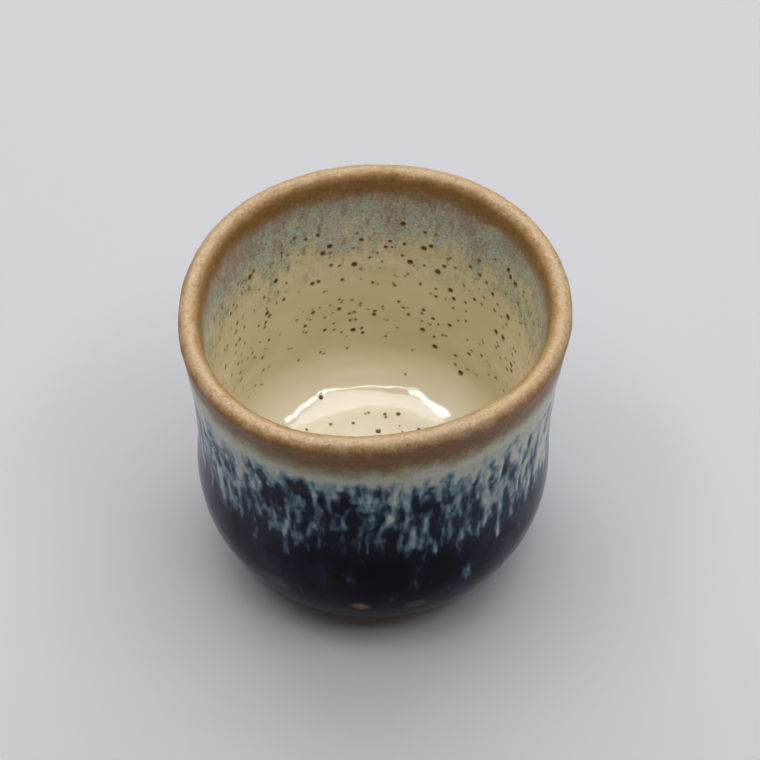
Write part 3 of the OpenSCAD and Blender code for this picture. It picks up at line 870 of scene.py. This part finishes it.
def cream_liner(glaze):
    """A wood-ash liner: glossy cream, brown in its pinholes and greyed where the veil lies over it."""
    material, tree = new_material("cream_ash_liner_glaze")
    place, way, stirred, second_coat = glaze_colours(tree, glaze)
    pit, pooled, stain = (add(tree, "ShaderNodeAttribute", attribute_name=name, output="Fac")
                          for name in ("pit", "pooled", "stain"))
    patches, waves = (add(tree, "ShaderNodeTexNoise", {
        "Vector": place, "Scale": grain_size(length), "Detail": 2.0}) for length in (14 * MM, 1.4 * MM))
    ring, floor, thick, upper, stained, rim, hole = (
        add(tree, "ShaderNodeMapRange", limits) for limits in (
            [pooled, 0, 1, 0, 0.35], [way, 42, 55], [stirred, -0.35, 0.5], [way, 24, 21],
            [stain, 0.1, 0.8, 0, 0.8], [pit, 0.22, 0.0], [pit, 0.02, -0.08]))
    cream = add(tree, "ShaderNodeValToRGB", [patches], [
        (0.35, "#BAAF89"), (0.5, glaze.cream), (0.65, "#C7B899")])
    for share, colour in ((ring, "#BDB284"), (floor, "#D2C9B4")):
        cream = add(tree, "ShaderNodeMix", {0: share, 6: cream, 7: colour}, **COLOURS)
    shown = add(tree, "ShaderNodeMix", {0: thick, 6: cream, 7: second_coat}, **COLOURS)
    shown = add(tree, "ShaderNodeMix", {0: upper, 6: cream, 7: shown}, **COLOURS)
    for share, colour in ((stained, "#6B4E33"), (rim, "#8C7848"), (hole, "#50290A")):
        shown = add(tree, "ShaderNodeMix", {0: share, 6: shown, 7: colour}, **COLOURS)
    shader = add(tree, "ShaderNodeBsdfPrincipled", {
        "Base Color": shown,
        "Roughness": add(tree, "ShaderNodeMapRange", [hole, 0, 1, 0.1, 0.6]),
        "Normal": add(tree, "ShaderNodeBump", {"Height": waves, "Strength": 0.1, "Distance": 0.06 * MM}),
        "IOR": 1.56, "Specular IOR Level": 0.6})
    add(tree, "ShaderNodeOutputMaterial", [shader])
    return material


def bare_stoneware(glaze):
    """Unglazed stoneware: matt tan clay with fine grit and dark iron specks."""
    material, tree = new_material("bare_tan_stoneware")
    place = add(tree, "ShaderNodeTexCoord", output="Object")
    clouds, grit = (add(tree, "ShaderNodeTexNoise", {
        "Vector": place, "Scale": grain_size(length), "Detail": detail})
        for length, detail in ((6 * MM, 3.0), (0.35 * MM, 4.0)))
    tan = add(tree, "ShaderNodeValToRGB", [clouds], [(0.3, "#A97F57"), (0.5, glaze.clay), (0.7, "#C49C74")])
    specks = add(tree, "ShaderNodeTexVoronoi", {"Vector": place, "Scale": grain_size(1.6 * MM)})
    speck = add(tree, "ShaderNodeMapRange", [specks, 0.16, 0.1])
    shader = add(tree, "ShaderNodeBsdfPrincipled", {
        "Base Color": add(tree, "ShaderNodeMix", {0: speck, 6: tan, 7: "#5A4030"}, **COLOURS),
        "Normal": add(tree, "ShaderNodeBump", {"Height": grit, "Strength": 0.6, "Distance": 0.12 * MM}),
        "Roughness": 0.82})
    add(tree, "ShaderNodeOutputMaterial", [shader])
    return material


class Kiln:
    """What the operators share: the form and the maps, made once for the sizes in use."""

    form = None
    maps = None

    @classmethod
    def load(cls, scene):
        if cls.form is None:
            cls.form = CupForm(scene.cup_sizes, scene.cup_hand)
            cls.maps = GlazeMaps(cls.form, scene.cup_glaze)
        return cls.form, cls.maps


def finish_piece(piece, material, nodes):
    """Gives a piece its material and its body, in place of the CAD nodes that it stands for."""
    piece.data.materials.append(material)
    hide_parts(*nodes)
    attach(piece, BODY)


class BuildLip(bpy.types.Operator):
    """Builds the toasted lip, from the pale band outside to the veil inside"""

    bl_idname = "sake_cup.build_lip"
    bl_label = "Lip Glaze"

    def execute(self, context):
        form, maps = Kiln.load(context.scene)
        size, round_end = form.size, 3 * MM
        first = form.way_outside(form.crest_z - size.lip_out)
        last = form.way_inside(form.crest_z - size.lip_in)
        ways = spaced((first, -round_end, round_end, last), (30, 42, 24))

        def depth(turns, shown, turn, way):
            numbers = maps.glazed(turn, way, maps.burnt_way(turn, way), halo=maps.halo.at(turn, way))
            return maps.lip_depth(turn, way), numbers

        piece = make_shell("toasted_lip", form, OUTSIDE_COLUMNS, ways, depth, np.linspace(first, last, 24),
                           size.coat_t)
        finish_piece(piece, toasted_lip(maps.glaze), ["lip_glaze"])
        return {"FINISHED"}


class BuildRuns(bpy.types.Operator):
    """Builds the second coat outside with its runs, flecks and beads"""

    bl_idname = "sake_cup.build_runs"
    bl_label = "Outside Streaks"

    def execute(self, context):
        form, maps = Kiln.load(context.scene)
        first, last = form.way_outside(RUNS_END_Z), form.way_outside(form.crest_z - form.size.lip_out)
        # Its underside lies just in the dark coat, so that the two don't share a face
        under_depth = 0.02 * MM

        def depth(turns, shown, turn, way):
            numbers = maps.glazed(turn, way, maps.burnt_way(turn, way), halo=maps.halo.at(turn, way))
            return maps.outside_depth(turn, way), numbers

        piece = make_shell("streaked_overglaze", form, OUTSIDE_COLUMNS, np.linspace(first, last, 104), depth,
                           np.linspace(first, last, 30), under_depth)
        finish_piece(piece, runny_glaze(maps.glaze), ["outer_overglaze", "glaze_runs"])
        return {"FINISHED"}


class BuildBase(bpy.types.Operator):
    """Builds the dark coat, from its line above the foot up to the lip zone"""

    bl_idname = "sake_cup.build_base"
    bl_label = "Dark Coat"

    def execute(self, context):
        form, maps = Kiln.load(context.scene)
        size = form.size
        first, runs_end = maps.foot_way(), form.way_outside(RUNS_END_Z)
        last = form.way_outside(form.crest_z - size.lip_out)
        # How far the rows sink under the piece with the runs, from the place where it ends
        tucked = 0.06 * MM
        ways = np.concatenate([np.linspace(first, runs_end, 56), np.linspace(runs_end + tucked, last, 20)])

        def depth(turns, shown, turn, way):
            bare = maps.bare(turn, way)
            surface = maps.outside_depth(turn, way) + 0.35 * MM * bare
            edge = 0.3 * MM * (1 - smooth((way - first) / (1.5 * MM)))
            return surface + edge, maps.glazed(turn, way, way / MM, halo=maps.halo.at(turn, way), bare=bare)

        piece = make_shell("dark_coat", form, OUTSIDE_COLUMNS, ways, depth, np.linspace(first, last, 24),
                           size.coat_t, sunk=(runs_end + 0.5 * tucked, tucked))
        finish_piece(piece, runny_glaze(maps.glaze), ["base_glaze"])
        return {"FINISHED"}


class BuildInside(bpy.types.Operator):
    """Builds the cream liner and the veil of the second coat over its upper part"""

    bl_idname = "sake_cup.build_inside"
    bl_label = "Liner and Veil"

    def execute(self, context):
        form, maps = Kiln.load(context.scene)
        size, pits = form.size, maps.pits
        rim, veil_end = form.way_inside(form.crest_z - size.lip_in), maps.glaze.veil_fade
        well, centre = form.way_inside(form.well_z), form.way[-1]
        floor_edge = centre - form.bore_r(np.array(form.well_z)) + size.well_w

        def depth(turns, shown, turn, way):
            edge, hollow = pits.hollows(turns, shown, turn, way)
            surface = maps.inside_depth(turn, way) + hollow
            pooled = np.clip(0.5 + 0.5 * maps.rings(turn, way) / maps.glaze.ring_rise, 0, 1)
            numbers = maps.glazed(turn, way, way / MM, stain=maps.stains.at(turn, way), pit=edge / MM,
                                  pooled=pooled)
            return np.where(way < veil_end, np.minimum(surface, hollow - THINNEST), surface), numbers

        material = cream_liner(maps.glaze)
        veil = make_shell("grey_veil", form, VEIL_COLUMNS, np.linspace(rim, veil_end, 50), depth,
                          np.linspace(rim, veil_end, 6), 0.35 * MM, gather=pits.gathered)
        finish_piece(veil, material, ["inner_overglaze"])
        liner = make_shell("cream_liner", form, LINER_COLUMNS,
                           spaced((veil_end, well, floor_edge, centre), (66, 46, 36)), depth,
                           np.linspace(rim, centre - 2 * MM, 64), size.coat_t,
                           hidden_ways=np.linspace(rim, veil_end, 7)[:-1], gather=pits.gathered)
        finish_piece(liner, material, ["liner_glaze"])
        return {"FINISHED"}


class BuildClay(bpy.types.Operator):
    """Builds the thrown clay under the coats and the turned foot ring"""

    bl_idname = "sake_cup.build_clay"
    bl_label = "Clay and Foot"

    def execute(self, context):
        form, maps = Kiln.load(context.scene)
        size, hand = form.size, form.hand
        material = bare_stoneware(maps.glaze)
        turns = turns_round(CLAY_COLUMNS)
        foot_in, edge_r = size.foot_r - size.foot_w, size.belly_r - size.corner_w
        bare_end = maps.foot_way() + 0.6 * MM
        # The rings' pitch, and the way on the maps, below the coats, whose noise the underside takes
        tool_pitch, spare_way = 1.1 * MM, -60 * MM

        def turned(radius, z):
            """Rings about the foot's middle, and how deep the turning tool and the grain marked them."""
            radius, z = radius[:, None], z[:, None]
            spot = (turns[None], spare_way + radius)
            marks = 0.035 * MM * np.sin(FULL_TURN * radius / tool_pitch + turns + 0.8 * maps.swell.at(*spot))
            crumbs = 0.02 * MM * maps.lumps.at(*spot) + 0.012 * MM * maps.grit.at(*spot)
            return radius, z, marks + crumbs

        def centred(radius, z):
            """Points of rings that stand off the mouth's middle as the foot does."""
            x, y = radius * np.cos(turns) - hand.lean_x, radius * np.sin(turns) - hand.lean_y
            return np.stack([x, y, z], -1)

        flat = spaced((0.3 * MM, foot_in, edge_r), (60, 34))
        radius, z, marks = turned(flat, size.foot_h + size.recess_dip * smooth(1 - flat / foot_in))
        under = centred(radius, z + np.abs(marks * smooth((edge_r - radius) / MM)))
        ways = spaced((form.way[0], bare_end, form.way[-1] - MM), (16, 130))[1:]
        turn_grid, way_grid = np.meshgrid(turns, ways)
        covered = smooth((way_grid - bare_end) / MM)
        rough = (0.02 * maps.lumps.at(turn_grid, way_grid) + 0.012 * maps.grit.at(turn_grid, way_grid)) * MM
        wall = form.at(turn_grid, way_grid, size.coat_t + np.abs(rough) * (1 - covered) + 0.04 * MM * covered)
        body = make_solid("thrown_clay", np.concatenate([under, wall]), False)
        finish_piece(body, material, ["clay_body"])

        slope, bevel = size.foot_slope, size.foot_bevel
        inner, outer = foot_in + slope, size.foot_r - slope
        corners = [(foot_in, size.foot_h), (inner, bevel), (inner + bevel, 0), (outer - bevel, 0),
                   (outer, bevel), (size.foot_r, size.foot_h)]
        sides = zip(corners, corners[1:] + corners[:1], (14, 5, 16, 5, 14, 6))
        profile = [np.linspace(*side, endpoint=False) for side in sides]
        radius, z, marks = turned(*np.concatenate(profile).T)
        land, top = z < 0.01 * MM, z > size.foot_h - 0.3 * MM
        worn = np.where(top, 0, np.abs(marks) * np.where(land, 0.4, 1.0))
        inwards = -np.sign(radius - (foot_in + size.foot_r) / 2)
        ring = centred(radius + inwards * np.where(land, 0, worn), z + np.where(land, worn, 0))
        foot = make_solid("turned_foot", ring, True)
        finish_piece(foot, material, ["foot_ring"])
        return {"FINISHED"}


class SetStage(bpy.types.Operator):
    """Sets the table, the camera and the soft light"""

    bl_idname = "sake_cup.set_stage"
    bl_label = "Table, Camera and Light"

    def execute(self, context):
        scene = context.scene
        form, _ = Kiln.load(scene)
        add_table(scene.cup_stage)
        add_camera(scene, form, scene.cup_stage)
        add_lights(scene)
        scene.view_settings.view_transform = "Standard"
        return {"FINISHED"}


def add_table(settings):
    """A wide table of matt grey card, which runs out past every view and shows no gloss."""
    half = 1.5
    corners = [(-half, -half, 0), (half, -half, 0), (half, half, 0), (-half, half, 0)]
    mesh = bpy.data.meshes.new("table")
    mesh.from_pydata(corners, [], [(0, 1, 2, 3)])
    table = bpy.data.objects.new("table", mesh)
    bpy.context.scene.collection.objects.link(table)
    material, tree = new_material("matt_grey_table")
    shader = add(tree, "ShaderNodeBsdfPrincipled", {"Base Color": settings.table, "Roughness": 0.75})
    add(tree, "ShaderNodeOutputMaterial", [shader])
    mesh.materials.append(material)
    table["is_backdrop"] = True


def add_camera(scene, form, settings):
    """The camera, in front of the cup and above it."""
    aim_z, frame_shift, sensor_w = 31.65 * MM, (0.00745, 0.027), 36
    camera = bpy.data.objects.new("camera", bpy.data.cameras.new("camera"))
    scene.collection.objects.link(camera)
    target = Vector((form.shift[0], form.shift[1], aim_z))
    away = Vector((0, -math.cos(settings.elevation), math.sin(settings.elevation)))
    camera.location = target + away * settings.distance
    camera.rotation_euler = (math.pi / 2 - settings.elevation, 0, 0)
    camera.data.sensor_width = sensor_w
    camera.data.lens = settings.lens
    camera.data.shift_x, camera.data.shift_y = frame_shift
    camera.data.clip_start, camera.data.clip_end = 0.01, 10
    scene.camera = camera


# Soft lights: degrees from overhead, turn in degrees, width round the cup and depth away from it in metres,
# and brightness
SOFTBOXES = {
    "overhead_card": (4.4, 76, 0.90, 0.70, 4.1),
    "window_behind": (38, 88, 1.30, 0.45, 4.4),
    "right_panel": (31, 338, 0.55, 0.15, 10.5),
    "left_panel": (24.5, 194, 0.50, 0.14, 10.5),
    "front_tube": (23.2, 272, 0.85, 0.028, 13.0),
}
LIGHT_DISTANCE = 1.0


def add_lights(scene):
    """Panels round the cup, each facing it, in a dim room that is paler at the back and the sides."""
    for name, (down, turn, width, depth, radiance) in SOFTBOXES.items():
        lamp = bpy.data.lights.new(name, "AREA")
        lamp.shape, lamp.size, lamp.size_y = "RECTANGLE", width, depth
        lamp.energy = radiance * math.pi * width * depth
        down, turn = math.radians(down), math.radians(turn)
        away = Vector((math.sin(down) * math.cos(turn), math.sin(down) * math.sin(turn), math.cos(down)))
        softbox = bpy.data.objects.new(name, lamp)
        softbox.location = away * LIGHT_DISTANCE
        softbox.rotation_euler = away.to_track_quat("Z", "Y").to_euler()
        scene.collection.objects.link(softbox)
    world = bpy.data.worlds.new("room")
    world.use_nodes = True
    scene.world = world
    tree = world.node_tree
    tree.nodes.clear()
    direction = add(tree, "ShaderNodeTexCoord", output="Generated")
    across, along = (add(tree, "ShaderNodeSeparateXYZ", [direction], output=axis) for axis in "XY")
    sideways = add(tree, "ShaderNodeMath", [across], operation="ABSOLUTE")
    behind = add(tree, "ShaderNodeMapRange", [along, -0.3, 0.6, 0.03, 0.4])
    beside = add(tree, "ShaderNodeMapRange", [sideways, 0.5, 0.9, 0, 0.5])
    strength = add(tree, "ShaderNodeMath", [behind, beside])
    back = add(tree, "ShaderNodeBackground", {"Color": "#F0F0F4", "Strength": strength})
    add(tree, "ShaderNodeOutputWorld", [back])


class SakeCupPanel(bpy.types.Panel):
    """Lists the cup's sizes and the steps that build it"""

    bl_idname = "VIEW3D_PT_sake_cup"
    bl_label = "Sake Cup"
    bl_space_type = "VIEW_3D"
    bl_region_type = "UI"
    bl_category = "Sake Cup"

    def draw(self, context):
        column = self.layout.column()
        for group in GROUPS:
            settings = getattr(context.scene, group)
            for name in settings.__annotations__:
                column.prop(settings, name)
        for step in STEPS:
            column.operator(step.bl_idname)


GROUPS = {"cup_sizes": CupSizes, "cup_hand": HandShape, "cup_glaze": GlazeSettings,
          "cup_stage": StageSettings}
STEPS = (BuildClay, BuildBase, BuildRuns, BuildLip, BuildInside, SetStage)


def register():
    for made in (*GROUPS.values(), *STEPS, SakeCupPanel):
        bpy.utils.register_class(made)
    for name, group in GROUPS.items():
        setattr(bpy.types.Scene, name, PointerProperty(type=group))


def unregister():
    for name in GROUPS:
        delattr(bpy.types.Scene, name)
    for made in (SakeCupPanel, *reversed(STEPS), *reversed(GROUPS.values())):
        bpy.utils.unregister_class(made)


def main():
    register()
    for step in STEPS:
        group, name = step.bl_idname.split(".")
        getattr(getattr(bpy.ops, group), name)()
    boxes = {"cad": cad_box, "visual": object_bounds()}
    {name: [list(corner) for corner in box] for name, box in boxes.items()}


if __name__ == "__main__":
    main()
